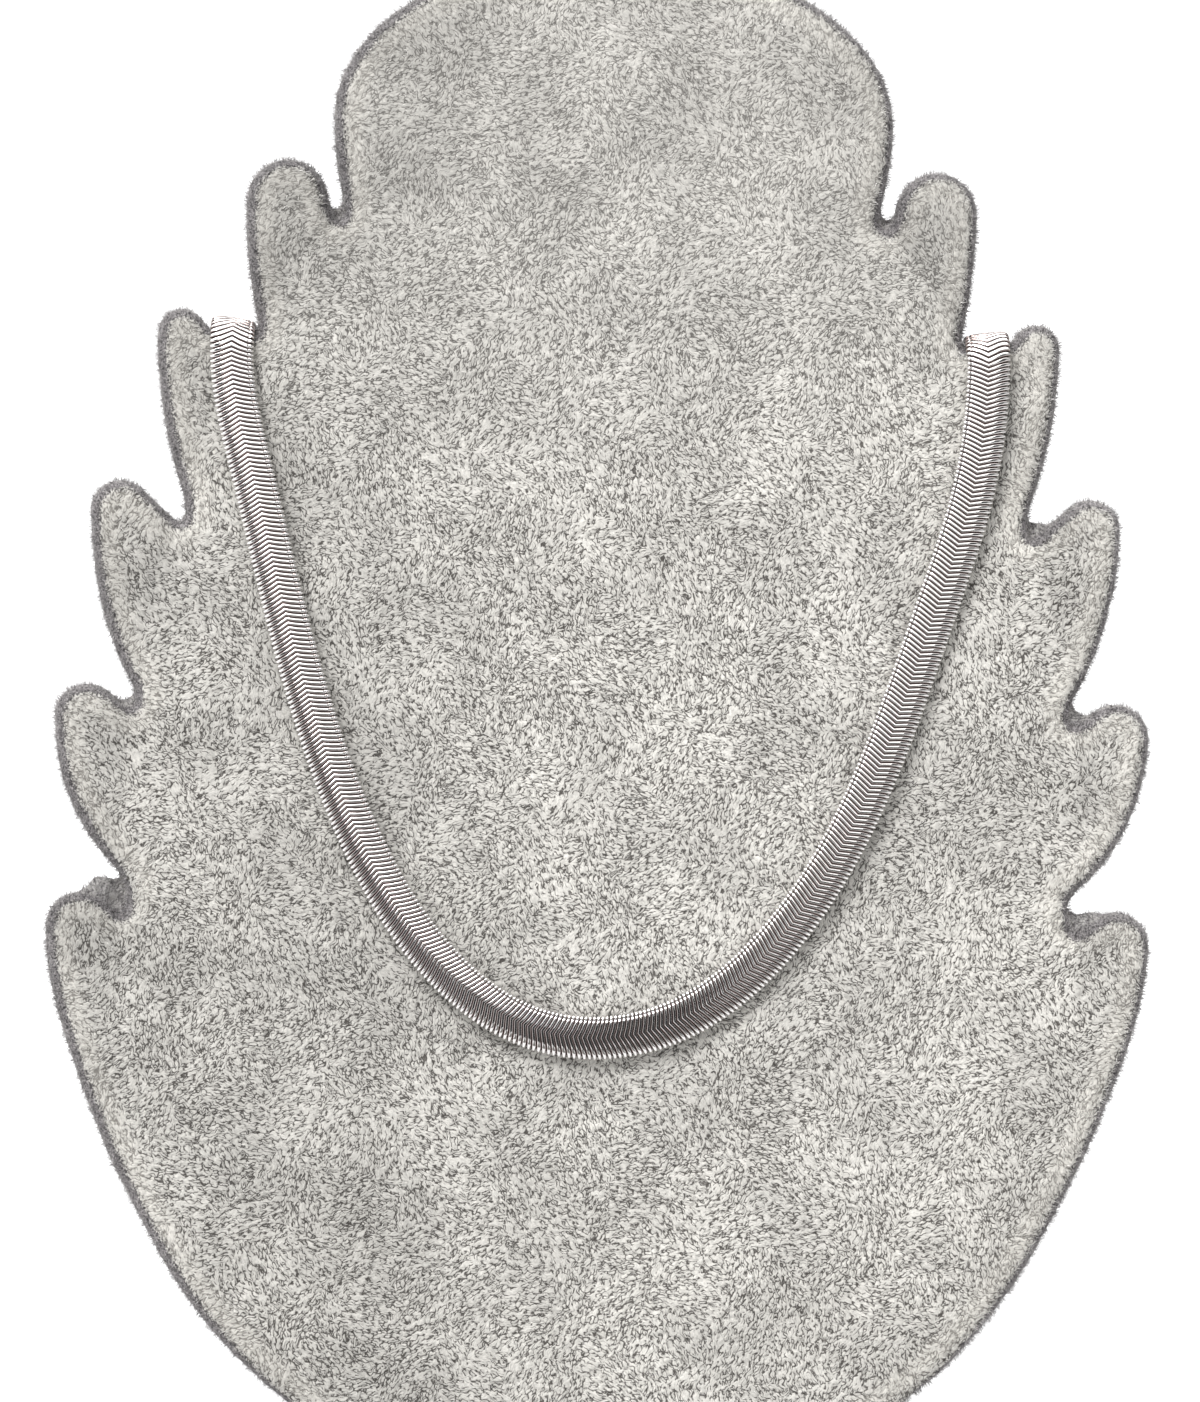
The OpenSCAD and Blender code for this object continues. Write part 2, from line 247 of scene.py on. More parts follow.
# the thin cloth reaches this many times a bunch's size, and fades over this much of it
THIN_REACH, THIN_FADE = 1.35, 0.3


def board_places(mesh):
    """Across, up and out of the board, in millimetres, for every point of a mesh."""
    co = np.empty(len(mesh.vertices) * 3, dtype=np.float32)
    mesh.vertices.foreach_get("co", co)
    co = co.reshape(-1, 3) / MM
    y = co[:, 1] - BOARD_FOOT_Y / MM
    s, c = math.sin(LEAN), math.cos(LEAN)
    return np.stack((co[:, 0], y * s + co[:, 2] * c, co[:, 2] * s - y * c), axis=1)


def cad_copy(node):
    """A copy of a CAD node's mesh with its loose triangles joined."""
    bm = bmesh.new()
    bm.from_mesh(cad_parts[node].data)
    bmesh.ops.remove_doubles(bm, verts=bm.verts, dist=0.002 * MM)
    return bm


def settle(obj):
    """The object's modifiers turned into its mesh."""
    made = bpy.data.meshes.new_from_object(obj.evaluated_get(bpy.context.evaluated_depsgraph_get()))
    obj.modifiers.clear()
    obj.data = made
    made.name = obj.name


def smooth(obj):
    obj.data.polygons.foreach_set("use_smooth", [True] * len(obj.data.polygons))


def set_on_counter(obj):
    """Nothing reaches below the counter."""
    for vertex in obj.data.vertices:
        vertex.co.z = max(vertex.co.z, 0.0)


def keep_value(obj, name, values):
    layer = obj.data.attributes.new(name, "FLOAT", "POINT")
    layer.data.foreach_set("value", np.asarray(values, dtype=np.float32))


def kept_value(tree, name):
    return add_node(tree, "ShaderNodeAttribute", {"attribute_name": name}).outputs["Fac"]


def noise(tree, place, scale, detail):
    made = add_node(tree, "ShaderNodeTexNoise", Scale=scale, Detail=detail)
    tree.links.new(place, made.inputs["Vector"])
    return made


def stretched(tree, place, factors):
    made = add_node(tree, "ShaderNodeVectorMath", {"operation": "MULTIPLY"})
    made.inputs[1].default_value = factors
    tree.links.new(place, made.inputs[0])
    return made.outputs[0]


def emboss(tree, skin, height, strength, distance, sunk=False):
    """A bump that stands out, or is sunk, where the height is 1."""
    bump = add_node(tree, "ShaderNodeBump", {"invert": sunk}, Strength=strength, Distance=distance)
    tree.links.new(height, bump.inputs["Height"])
    tree.links.new(bump.outputs["Normal"], skin.inputs["Normal"])


def new_effect(name, scale, low, high):
    """A spotty mask that several materials share: 0 where its noise is low, 1 where it is high."""
    tree = bpy.data.node_groups.new(name, "ShaderNodeTree")
    tree.interface.new_socket("Place", in_out="INPUT", socket_type="NodeSocketVector")
    tree.interface.new_socket("Scale", in_out="INPUT", socket_type="NodeSocketFloat").default_value = scale
    tree.interface.new_socket("Mask", in_out="OUTPUT", socket_type="NodeSocketFloat")
    given = tree.nodes.new("NodeGroupInput")
    spots = noise(tree, given.outputs["Place"], scale, detail=2.0)
    tree.links.new(given.outputs["Scale"], spots.inputs["Scale"])
    tree.links.new(ramp(tree, spots.outputs[0], low, high, 0.0, 1.0), tree.nodes.new("NodeGroupOutput").inputs["Mask"])
    return tree


def use_effect(tree, effect, place, scale):
    used = add_node(tree, "ShaderNodeGroup", {"node_tree": effect}, Scale=scale)
    tree.links.new(place, used.inputs["Place"])
    return used.outputs["Mask"]


def new_shaping(name):
    """A geometry node tree, with the socket that the mesh comes in by and the one that it leaves by."""
    tree = bpy.data.node_groups.new(name, "GeometryNodeTree")
    for in_out in ("INPUT", "OUTPUT"):
        tree.interface.new_socket("Geometry", in_out=in_out, socket_type="NodeSocketGeometry")
    return tree, tree.nodes.new("NodeGroupInput").outputs[0], tree.nodes.new("NodeGroupOutput").inputs[0]


def lay_clumps(tree, place):
    """The clumps of pile, for a material or a mesh: 1 in the gaps between them and 0 on them, and the
    place that they follow, stretched along the nap."""
    def push(amount, scale, onto):
        pushed = add_node(tree, "ShaderNodeVectorMath", {"operation": "MULTIPLY_ADD"})
        pushed.inputs[1].default_value = (amount, amount, amount)
        tree.links.new(noise(tree, place, scale, detail=1.0).outputs["Color"], pushed.inputs[0])
        tree.links.new(onto, pushed.inputs[2])
        return pushed.outputs[0]

    # the nap lies a different way in each patch a few millimetres across
    patches = add_node(tree, "ShaderNodeTexVoronoi", Scale=LIE_PATCHES)
    tree.links.new(push(PATCH_WANDER, LIE_PATCHES, place), patches.inputs["Vector"])
    turned_lie = add_node(tree, "ShaderNodeVectorRotate", {"rotation_type": "AXIS_ANGLE"})
    turned_lie.inputs["Axis"].default_value = (0, -math.cos(LEAN), math.sin(LEAN))
    tree.links.new(push(NAP_WAVER, NAP_WAVES, place), turned_lie.inputs["Vector"])
    tree.links.new(patches.outputs["Position"], turned_lie.inputs["Center"])
    tree.links.new(ramp(tree, axes(tree, patches.outputs["Color"])[0], 0, 1, 0, 6.28, smooth=False),
                   turned_lie.inputs["Angle"])
    long_lie = stretched(tree, turned_lie.outputs[0], (CLUMPS_ACROSS, CLUMPS_ALONG, CLUMPS_ALONG))
    clumps = add_node(tree, "ShaderNodeTexVoronoi", {"feature": "DISTANCE_TO_EDGE"}, Scale=1.0)
    tree.links.new(long_lie, clumps.inputs["Vector"])
    gap = ramp(tree, clumps.outputs["Distance"], 0.03, 0.20, 1.0, 0.0)
    # the gaps are broken up, and close where the nap was brushed down
    breaks = noise(tree, long_lie, scale=0.9, detail=1.0).outputs[0]
    brushed_down = ramp(tree, noise(tree, place, BRUSHED_PATCHES, detail=2.0).outputs[0],
                        0.36, 0.64, -0.025, 0.025, smooth=False)
    whole = ramp(tree, combine(tree, "ADD", breaks, brushed_down), 0.39, 0.54, 0.0, 1.0)
    return combine(tree, "MULTIPLY", gap, whole), long_lie


cover_bm = cad_copy("display_board")
for u, h, w, half_across, half_tall, half_thick, turn in BUNCHES:
    shape = Matrix.Diagonal((half_across * MM, half_thick * MM, half_tall * MM, 1))
    stand = (Matrix.Translation(on_board(u, h, w)) @ Matrix.Rotation(-LEAN, 4, "X")
             @ Matrix.Rotation(math.radians(-turn), 4, "Y"))
    bmesh.ops.create_icosphere(cover_bm, subdivisions=3, radius=1.0, matrix=stand @ shape)
cover = new_object("plush_cover", cover_bm)
cells = cover.modifiers.new("cells", "REMESH")
cells.mode = "VOXEL"
cells.voxel_size = COVER_CELL * MM
settle(cover)
fine_bm = bmesh.new()
fine_bm.from_mesh(cover.data)
fine_bm.verts.ensure_lookup_table()
shows = board_places(cover.data)[:, 2] > FRONT_REACH
front_edges = [e for e in fine_bm.edges if shows[e.verts[0].index] and shows[e.verts[1].index]]
bmesh.ops.subdivide_edges(fine_bm, edges=front_edges, cuts=1, use_grid_fill=True, smooth=0.0)
fine_bm.to_mesh(cover.data)
fine_bm.free()
smooth(cover)

# how far each point lies from the turned edge, for the paler strip beside it
places = board_places(cover.data)
on_edge = np.nonzero((places[:, 2] < EDGE_FRONT) & (places[:, 2] > EDGE_BACK))[0]
edge_places = kdtree.KDTree(len(on_edge))
for i in on_edge:
    edge_places.insert((places[i, 0], places[i, 1], 0), int(i))
edge_places.balance()
from_edge = np.zeros(len(places), dtype=np.float32)
for i in np.nonzero(places[:, 2] > EDGE_FRONT)[0]:
    from_edge[i] = edge_places.find((places[i, 0], places[i, 1], 0))[2]
keep_value(cover, "from_edge", from_edge)
keep_value(cover, "depth", places[:, 2])
# the turned edge's painted shade shows wider where it faces left
normals = np.empty(len(places) * 3, dtype=np.float32)
cover.data.vertex_normals.foreach_get("vector", normals)
keep_value(cover, "turned", places[:, 2] + EDGE_LOWER + EDGE_SHIFT * np.clip(normals[::3] * 2.0, -1, 1))
# the lobes are a little greyer than the padded middle: painted shade in a valley that fades below each notch, and the
# left ones greyer all over
up_board = places[:, 1]
middle_edge = np.interp(up_board, [h for _, h in NOTCH_FEET[::-1]], [u for u, _ in NOTCH_FEET[::-1]])
outside = np.abs(places[:, 0]) - middle_edge
below = np.zeros(len(places))
for _, h in NOTCH_FEET:
    down = h - up_board
    below = np.maximum(below, np.clip(1 - down / VALLEY_LENGTH, 0, 1)
                       * np.clip((down + VALLEY_ABOVE) / VALLEY_IN, 0, 1))
valley_shade = np.clip((outside + 0.5) / 1.6, 0, 1) * np.exp(-np.clip(outside, 0, None) / VALLEY_WIDTH) * below
left_lobes = (np.where(places[:, 0] < 0, LEFT_LOBE_GREY, 0.0) * np.clip((outside + 2.0) / 4.0, 0, 1)
              * np.clip((up_board - LOBES_FROM) / LOBES_IN, 0, 1))
keep_value(cover, "valley_shade_and_grey", np.maximum(valley_shade, left_lobes))
# the bunches are thin cloth that lets the counter's light through, painted as paler tones on their edge shade
thin = np.zeros(len(places))
for u, h, w, half_across, half_tall, half_thick, turn in BUNCHES:
    c, s = math.cos(math.radians(turn)), math.sin(math.radians(turn))
    du, dh, dw = places[:, 0] - u, places[:, 1] - h, places[:, 2] - w
    away = np.sqrt(((du * c + dh * s) / half_across) ** 2 + ((dh * c - du * s) / half_tall) ** 2
                   + (dw / half_thick) ** 2)
    thin = np.maximum(thin, np.clip((THIN_REACH - away) / THIN_FADE, 0, 1))
keep_value(cover, "thin", thin)

# the relief of the pile: its gaps sink in, and the padding swells a little under it
relief, relief_in, relief_out = new_shaping("plush_relief")
position = relief.nodes.new("GeometryNodeInputPosition").outputs[0]
gap_depth = ramp(relief, lay_clumps(relief, position)[0], 0, 1, 0.0, -CLUMP_DEPTH * MM, smooth=False)
swell_height = ramp(relief, noise(relief, position, SWELLS, detail=2.0).outputs[0],
                    0.3, 0.7, SWELL_LOW * MM, SWELL_HIGH * MM, smooth=False)
shift = add_node(relief, "ShaderNodeVectorMath", {"operation": "SCALE"})
relief.links.new(relief.nodes.new("GeometryNodeInputNormal").outputs[0], shift.inputs[0])
relief.links.new(combine(relief, "ADD", gap_depth, swell_height), shift.inputs["Scale"])
moved = relief.nodes.new("GeometryNodeSetPosition")
relief.links.new(relief_in, moved.inputs["Geometry"])
relief.links.new(shift.outputs[0], moved.inputs["Offset"])
relief.links.new(moved.outputs[0], relief_out)
cover.modifiers.new("relief", "NODES").node_group = relief
settle(cover)
set_on_counter(cover)

pile_specks = new_effect("pile_specks", PLUSH_SPECKS, 0.40, 0.57)
plush_mat, plush_tree, plush_skin = new_material("grey_plush", Roughness=0.95, Specular_IOR_Level=0.12,
                                                 Sheen_Weight=0.2, Sheen_Roughness=0.5)
plush_place = object_place(plush_tree)
plush_axes = axes(plush_tree, plush_place)
gaps, along_nap = lay_clumps(plush_tree, plush_place)
specks = use_effect(plush_tree, pile_specks, plush_place, PLUSH_SPECKS)
# streaks along the nap, broad clouds, the greyed lobes with their painted valley shade, and painted shade darkening
# the top and the left
streaks = noise(plush_tree, along_nap, scale=2.2, detail=2.0).outputs[0]
broad_clouds = noise(plush_tree, plush_place, scale=55.0, detail=2.0).outputs[0]
shade = combine(plush_tree, "MULTIPLY",
                ramp(plush_tree, streaks, 0.3, 0.7, 0.78, 1.18, smooth=False),
                ramp(plush_tree, broad_clouds, 0.40, 0.60, 0.88, 1.05, smooth=False),
                ramp(plush_tree, kept_value(plush_tree, "valley_shade_and_grey"), 0.0, 1.0, 1.0, 0.68, smooth=False),
                # painted shade: darker towards the board's top and its left side
                ramp(plush_tree, plush_axes["Z"], 0.17, 0.24, 1.0, 0.81),
                ramp(plush_tree, plush_axes["X"], 0.0, -0.045, 1.0, 0.85))
# towards the top the painted shade in the gaps between the clumps is paler too
gap_shade_mask = combine(plush_tree, "MULTIPLY", gaps, ramp(plush_tree, plush_axes["Z"], 0.16, 0.24, 1.0, 0.72))
pile = blend_colour(plush_tree, gap_shade_mask, PLUSH_LIGHT, PLUSH_GAP_SHADE)
# a strip beside the turned edge is paler, and the edge itself has painted shade with a ragged start
edge_distance = kept_value(plush_tree, "from_edge")
beside_edge = combine(plush_tree, "MULTIPLY", ramp(plush_tree, edge_distance, 1.2, 2.4, 0.0, 1.0),
                      ramp(plush_tree, edge_distance, 3.6, 6.5, 0.3, 0.0))
ragged = combine(plush_tree, "ADD", kept_value(plush_tree, "turned"),
                 ramp(plush_tree, specks, 0.0, 1.0, -0.22, 0.22, smooth=False))
edge_shade_mask = combine(plush_tree, "MULTIPLY", ramp(plush_tree, ragged, *EDGE_TURN, 0.0, 0.88),
                    ramp(plush_tree, kept_value(plush_tree, "depth"), -1.8, -2.8, 1.0, 0.55))
edge_shade_pile = blend_colour(plush_tree, kept_value(plush_tree, "thin"),
                         blend_colour(plush_tree, specks, EDGE_SHADE_DARK, EDGE_SHADE_GREY),
                         blend_colour(plush_tree, specks, THIN_DARK, THIN_GREY))
creamed = blend_colour(plush_tree, beside_edge, pile, PLUSH_CREAM)
toned = add_node(plush_tree, "ShaderNodeVectorMath", {"operation": "SCALE"})
plush_tree.links.new(blend_colour(plush_tree, edge_shade_mask, creamed, edge_shade_pile), toned.inputs[0])
plush_tree.links.new(shade, toned.inputs["Scale"])
plush_tree.links.new(toned.outputs[0], plush_skin.inputs["Base Color"])
emboss(plush_tree, plush_skin, gaps, strength=0.5, distance=0.0003, sunk=True)
cover.data.materials.clear()
cover.data.materials.append(plush_mat)
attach(cover, "root")
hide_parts("display_board")

# loose ends of the pile, thickest where the plush turns over the edge and kept short of the chain
PILE_LENGTH, PILE_RADIUS = 1.2, 0.05
PILE_SIZES = (0.55, 1.25)
PILE_LEAN = 2.5
# how many stand on a square metre of the front and of the edge, and how far they keep from the chain
PILE_FRONT, PILE_EDGE = 0.35e6, 3.6e6
CHAIN_CLEAR, GUIDE_STEPS = 7.0, 6
# depths below the board's face: as far as the front goes, where the chain may lie, and where the loose ends stop
FRONT_DEPTH, CHAIN_DEPTH, LAST_DEPTH = -0.5, -0.9, -6.8
# fibre colours: painted shade over the turned edge, and plain on the front
FIBRE_EDGE_SHADE = (0.15, 0.14, 0.145, 1), (0.42, 0.40, 0.405, 1)
FIBRE_FRONT = (0.60, 0.585, 0.56, 1), (0.80, 0.785, 0.755, 1)
# the chain's way over the front of the board, across and up, from its left notch to its right one
CHAIN_FRONT = [(-63.5, 178), (-58, 155.5), (-51.5, 133), (-43, 111.5), (-31, 91.5), (-12, 76.5),
               (12.5, 77.5), (31, 92), (44, 112), (52.5, 133), (59.5, 155.5), (67, 177.5)]
chain_guides = [(-69, 200)] + CHAIN_FRONT + [(69, 200)]
chain_points = [(one[0] + (two[0] - one[0]) * k / GUIDE_STEPS, one[1] + (two[1] - one[1]) * k / GUIDE_STEPS, 0)
                for one, two in zip(chain_guides, chain_guides[1:]) for k in range(GUIDE_STEPS)]
chain_places = kdtree.KDTree(len(chain_points))
for number, point in enumerate(chain_points):
    chain_places.insert(point, number)
chain_places.balance()
places = board_places(cover.data)
loose = np.where(places[:, 2] > FRONT_DEPTH, PILE_FRONT, PILE_EDGE)
loose[places[:, 2] < LAST_DEPTH] = 0
for i in np.nonzero(places[:, 2] > CHAIN_DEPTH)[0]:
    if chain_places.find((places[i, 0], places[i, 1], 0))[2] < CHAIN_CLEAR:
        loose[i] = 0
keep_value(cover, "loose", loose)
ends, ends_in, ends_out = new_shaping("pile_ends")
how_many = add_node(ends, "GeometryNodeInputNamedAttribute", {"data_type": "FLOAT"}, Name="loose")
sown = add_node(ends, "GeometryNodeDistributePointsOnFaces", Seed=4)
fibre = add_node(ends, "GeometryNodeMeshCone", {"fill_type": "NONE"}, Vertices=3, Radius_Top=0.0,
                 Radius_Bottom=PILE_RADIUS * MM, Depth=PILE_LENGTH * MM)
stir = noise(ends, ends.nodes.new("GeometryNodeInputPosition").outputs[0], scale=500.0, detail=1.0)
leant = add_node(ends, "ShaderNodeVectorMath", {"operation": "MULTIPLY_ADD"})
leant.inputs[1].default_value = (2 * PILE_LEAN, 2 * PILE_LEAN, 2 * PILE_LEAN)
leant.inputs[2].default_value = (-PILE_LEAN, -PILE_LEAN, -PILE_LEAN)
stood = add_node(ends, "ShaderNodeVectorMath", {"operation": "ADD"})
stood_way = add_node(ends, "FunctionNodeAlignRotationToVector", {"axis": "Z"})
sizes = add_node(ends, "FunctionNodeRandomValue", {"data_type": "FLOAT"})
sizes.inputs[2].default_value, sizes.inputs[3].default_value = PILE_SIZES
planted = ends.nodes.new("GeometryNodeInstanceOnPoints")
made_real = ends.nodes.new("GeometryNodeRealizeInstances")
for start, stop in ((ends_in, sown.inputs["Mesh"]), (how_many.outputs[0], sown.inputs["Density"]),
                    (stir.outputs["Color"], leant.inputs[0]), (leant.outputs[0], stood.inputs[0]),
                    (sown.outputs["Normal"], stood.inputs[1]), (stood.outputs[0], stood_way.inputs["Vector"]),
                    (sown.outputs["Points"], planted.inputs["Points"]),
                    (fibre.outputs["Mesh"], planted.inputs["Instance"]),
                    (stood_way.outputs[0], planted.inputs["Rotation"]), (sizes.outputs[1], planted.inputs["Scale"]),
                    (planted.outputs[0], made_real.inputs[0]), (made_real.outputs[0], ends_out)):
    ends.links.new(start, stop)
pile_ends = bpy.data.objects.new("pile_ends", cover.data.copy())
bpy.context.scene.collection.objects.link(pile_ends)
pile_ends.modifiers.new("ends", "NODES").node_group = ends
settle(pile_ends)
set_on_counter(pile_ends)
fibre_mat, fibre_tree, fibre_skin = new_material("pile_ends", Roughness=0.9, Specular_IOR_Level=0.1)
fibre_specks = use_effect(fibre_tree, pile_specks, object_place(fibre_tree), FIBRE_SPECKS)
fibre_tone = blend_colour(fibre_tree, ramp(fibre_tree, kept_value(fibre_tree, "turned"), *EDGE_TURN, 0.0, 1.0),
                          blend_colour(fibre_tree, fibre_specks, *FIBRE_FRONT),
                          blend_colour(fibre_tree, fibre_specks, *FIBRE_EDGE_SHADE))
fibre_tree.links.new(fibre_tone, fibre_skin.inputs["Base Color"])
pile_ends.data.materials.clear()
pile_ends.data.materials.append(fibre_mat)
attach(pile_ends, "root")

# ---------------------------------------------------------------- flat snake chain
# Hundreds of thin stamped plates, each a flat oval ring pressed into a chevron, threaded through the
# next so that the whole band bends like cloth; polished silver on the faces, with painted shade on their flanks and in
# the gaps.
PLATE_PITCH = 0.84
PLATE_HALF_WIDTH, PLATE_HALF_THICK = 4.0, 1.15
# a plate's outline from its outer edge, which is only rounded, over its ridge to its inner edge, a bead
# with a groove
PLATE_OUTER = [(4.0, 0), (3.97, 0.34), (3.80, 0.58), (3.50, 0.76), (3.10, 0.92), (2.75, 1.01), (1.9, 1.085)]
PLATE_INNER = [(0, 1.15), (-1.4, 1.115), (-2.68, 1.04), (-2.84, 1.02), (-2.95, 0.93), (-3.08, 0.76),
               (-3.22, 0.90), (-3.45, 0.91), (-3.80, 0.67), (-3.97, 0.36), (-4.0, 0)]
PLATE_BACK = [(3.7, -0.6), (2.0, -0.95)]
# how a plate rounds off along the chain: place along it, and how much lower than its middle it lies
PLATE_ROUND = [(-0.37, 0.46), (-0.33, 0.16), (-0.28, 0.05), (-0.19, 0.006),
               (0.19, 0.006), (0.28, 0.05), (0.33, 0.16), (0.37, 0.46)]
# plates grow thinner over this much of their width at each end, by this share
RIM_FROM, RIM_OVER, RIM_THINNER = 3.2, 0.7, 0.28
# how far the chevron's middle runs ahead, how blunt its point is, and how its wings curve
CHEVRON, CHEVRON_BLUNT, CHEVRON_CURVE = 1.3, 0.003, 1.8
# the chain behind the board, on the right: its way to the clasp, the clasp's height, and where the chain ends
CHAIN_BACK = [(66, 187), (57, 176.5), (45.5, 171), (34, 168.5), (23, 168)]
CLASP_H, CHAIN_END = 168, 12.5
# how far out of the board's face the chain's middle lies, in front and behind
FRONT_W, BACK_W = 1.45, -11.9
# the two quarter turns over the board in each notch: the height, radius and place out of its face of each
BEND_H, BEND_R, BEND_W = (200.5, 200.65), (4.45, 4.3), (-3, -7.6)
SEAT_SLOPE = math.radians(8)
SPLINE_STEPS, BEND_STEPS = 60, 100
CHAIN_SPARE, PLATES_BEHIND = 1.5, 104
# polished silver, and the painted shade on the plates' flanks and in the gaps between them
SILVER, FLANK_SHADE, GAP_SHADE = (0.94, 0.93, 0.92, 1), (0.42, 0.33, 0.31, 1), (0.05, 0.026, 0.024, 1)
# spots of wear to a metre, on the plates, the core and the caps
WEAR_SPOTS, CORE_SPOTS, CAP_SPOTS = 1500.0, 900.0, 350.0
# the dark core between the plates: half its width and thickness, and how much it stops short at each end
CORE_HALF_WIDTH, CORE_HALF_THICK, CORE_SHORT = 3.4, 0.68, 0.8
CORE_SIDES, CORE_CUTS = 12, 300
# the core's painted shade, a little lighter in spots of wear
CORE_SHADE, CORE_SHADE_WORN = (0.07, 0.045, 0.04, 1), (0.12, 0.09, 0.085, 1)


def spline(guides, steps):
    """Points and headings of the smooth cubic through guide points."""
    line = []
    for i in range(len(guides) - 3):
        g = [Vector((p[0], p[1], 0)) for p in guides[i:i + 4]]
        for j in range(steps + (i == len(guides) - 4)):
            t = j / steps
            p = ((1 - t) ** 3 * g[0] + (3 * t ** 3 - 6 * t * t + 4) * g[1]
                 + (-3 * t ** 3 + 3 * t * t + 3 * t + 1) * g[2] + t ** 3 * g[3]) / 6
            v = (-(1 - t) ** 2 * g[0] + (3 * t * t - 4 * t) * g[1] + (-3 * t * t + 2 * t + 1) * g[2] + t * t * g[3])
            line.append((p, v.normalized()))
    return line


def behind_side(side):
    """One half of the chain behind the board, from its notch to the clasp."""
    a, b = CHAIN_BACK[0], CHAIN_BACK[-1]
    line = spline([(a[0], 2 * BEND_H[1] - a[1]), (68.5, BEND_H[1])] + CHAIN_BACK
                  + [(CHAIN_END, CLASP_H), (2 * CHAIN_END - b[0], CLASP_H)], SPLINE_STEPS)
    return [(Vector((side * p.x, p.y, BACK_W)), Vector((-side * v.y, v.x, 0)), Vector((0, 0, -1)))
            for p, v in line]


def bend(side, front_u, back_u):
    """The chain's turn over the board in a notch, from front to back."""
    made = []
    for k in range(1, BEND_STEPS):
        turn = math.pi * k / BEND_STEPS
        q = 0 if turn <= math.pi / 2 else 1
        roll = SEAT_SLOPE * math.sin(turn)
        face, edge = Vector((0, math.sin(turn), math.cos(turn))), Vector((side, 0, 0))
        c = Vector((front_u + (back_u - front_u) * k / BEND_STEPS, BEND_H[q] + BEND_R[q] * face.y,
                    BEND_W[q] + BEND_R[q] * face.z))
        made.append((c, edge * math.cos(roll) + face * math.sin(roll), face * math.cos(roll) - edge * math.sin(roll)))
    return made


def chain_route():
    """The chain's middle line from clasp to clasp: run, place, way to the outer edge, way out of its face."""
    a, b = CHAIN_FRONT[0], CHAIN_FRONT[-1]
    line = spline([(a[0], 2 * BEND_H[0] - a[1]), (-70, BEND_H[0])] + CHAIN_FRONT
                  + [(69, BEND_H[0]), (b[0], 2 * BEND_H[0] - b[1])], SPLINE_STEPS)
    front = [(Vector((p.x, p.y, FRONT_W)), Vector((v.y, -v.x, 0)), Vector((0, 0, 1))) for p, v in line]
    left, right = behind_side(-1), behind_side(1)
    route = left[::-1] + bend(-1, front[0][0].x, left[0][0].x)[::-1] + front
    route += bend(1, front[-1][0].x, right[0][0].x) + right
    c = np.array([on_board(*r[0]) for r in route])
    edge = np.array([board_way(*r[1]) / MM for r in route])
    face = np.array([board_way(*r[2]) / MM for r in route])
    run = np.concatenate(([0], np.cumsum(np.linalg.norm(np.diff(c, axis=0), axis=1))))
    return run, c, edge, face


def lay_along(obj, route, start):
    """Bends an object made straight up Z, X to the chain's outer edge and Y out of its face, along the route."""
    run, c, edge, face = route
    co = np.empty(len(obj.data.vertices) * 3, dtype=np.float32)
    obj.data.vertices.foreach_get("co", co)
    co = co.reshape(-1, 3)
    s = co[:, 2] + start
    at = [np.stack([np.interp(s, run, part[:, k]) for k in range(3)], axis=1) for part in (c, edge, face)]
    e = at[1] / np.linalg.norm(at[1], axis=1, keepdims=True)
    f = at[2] / np.linalg.norm(at[2], axis=1, keepdims=True)
    placed = at[0] + e * co[:, :1] + f * co[:, 1:2]
    obj.data.vertices.foreach_set("co", placed.astype(np.float32).ravel())
    # those three ways are left-handed, which turns the faces inwards, so they are turned back
    obj.data.flip_normals()
    obj.data.update()


# one plate: its outline, drawn out along the chain level by level and closed
outline = PLATE_OUTER + PLATE_INNER + [(-x, y) for x, y in PLATE_BACK] + PLATE_BACK[::-1]
plate_bm = bmesh.new()
levels = [[plate_bm.verts.new((x * MM, y * MM, 0)) for x, y in outline]]
plate_bm.faces.new(levels[0])
for _ in PLATE_ROUND[1:]:
    rim_edges = [plate_bm.edges.get((levels[-1][i - 1], levels[-1][i])) for i in range(len(outline))]
    drawn_out = bmesh.ops.extrude_edge_only(plate_bm, edges=rim_edges)
    new_verts = {v for v in drawn_out["geom"] if isinstance(v, bmesh.types.BMVert)}
    levels.append([next(e.other_vert(v) for e in v.link_edges if e.other_vert(v) in new_verts) for v in levels[-1]])
plate_bm.faces.new(levels[-1])
deep = {}
for level, (z, inset) in zip(levels, PLATE_ROUND):
    for v, (x, y) in zip(level, outline):
        v.co = (x * (1 - inset / PLATE_HALF_WIDTH) * MM, y * (1 - inset / PLATE_HALF_THICK) * MM, z * MM)
        deep[v] = abs(z) / PLATE_ROUND[-1][0]
        v.co.z *= 1 - RIM_THINNER * min(max((abs(x) - RIM_FROM) / RIM_OVER, 0), 1)
bmesh.ops.recalc_face_normals(plate_bm, faces=plate_bm.faces)
# the plate's own map: across it, and from its middle down into the gaps, where its two end faces lie
plate_uv = plate_bm.loops.layers.uv.new("plate")
for f in plate_bm.faces:
    for loop in f.loops:
        loop[plate_uv].uv = (loop.vert.co.x / (2 * PLATE_HALF_WIDTH * MM) + 0.5,
                             1.0 if len(f.verts) > 4 else deep[loop.vert] * 0.9)
for v in plate_bm.verts:
    s = min(math.sqrt((v.co.x / (PLATE_HALF_WIDTH * MM)) ** 2 + CHEVRON_BLUNT), 1)
    v.co.z += (CHEVRON * (1 - (1 - s) ** CHEVRON_CURVE) - CHEVRON / 2) * MM
one_plate = bpy.data.meshes.new("plate")
plate_bm.to_mesh(one_plate)
plate_bm.free()
route = chain_route()
chain_length = route[0][-1]
count = int((chain_length / MM - CHAIN_SPARE) / PLATE_PITCH)
first_plate = (chain_length - (count - 1) * PLATE_PITCH * MM) / 2


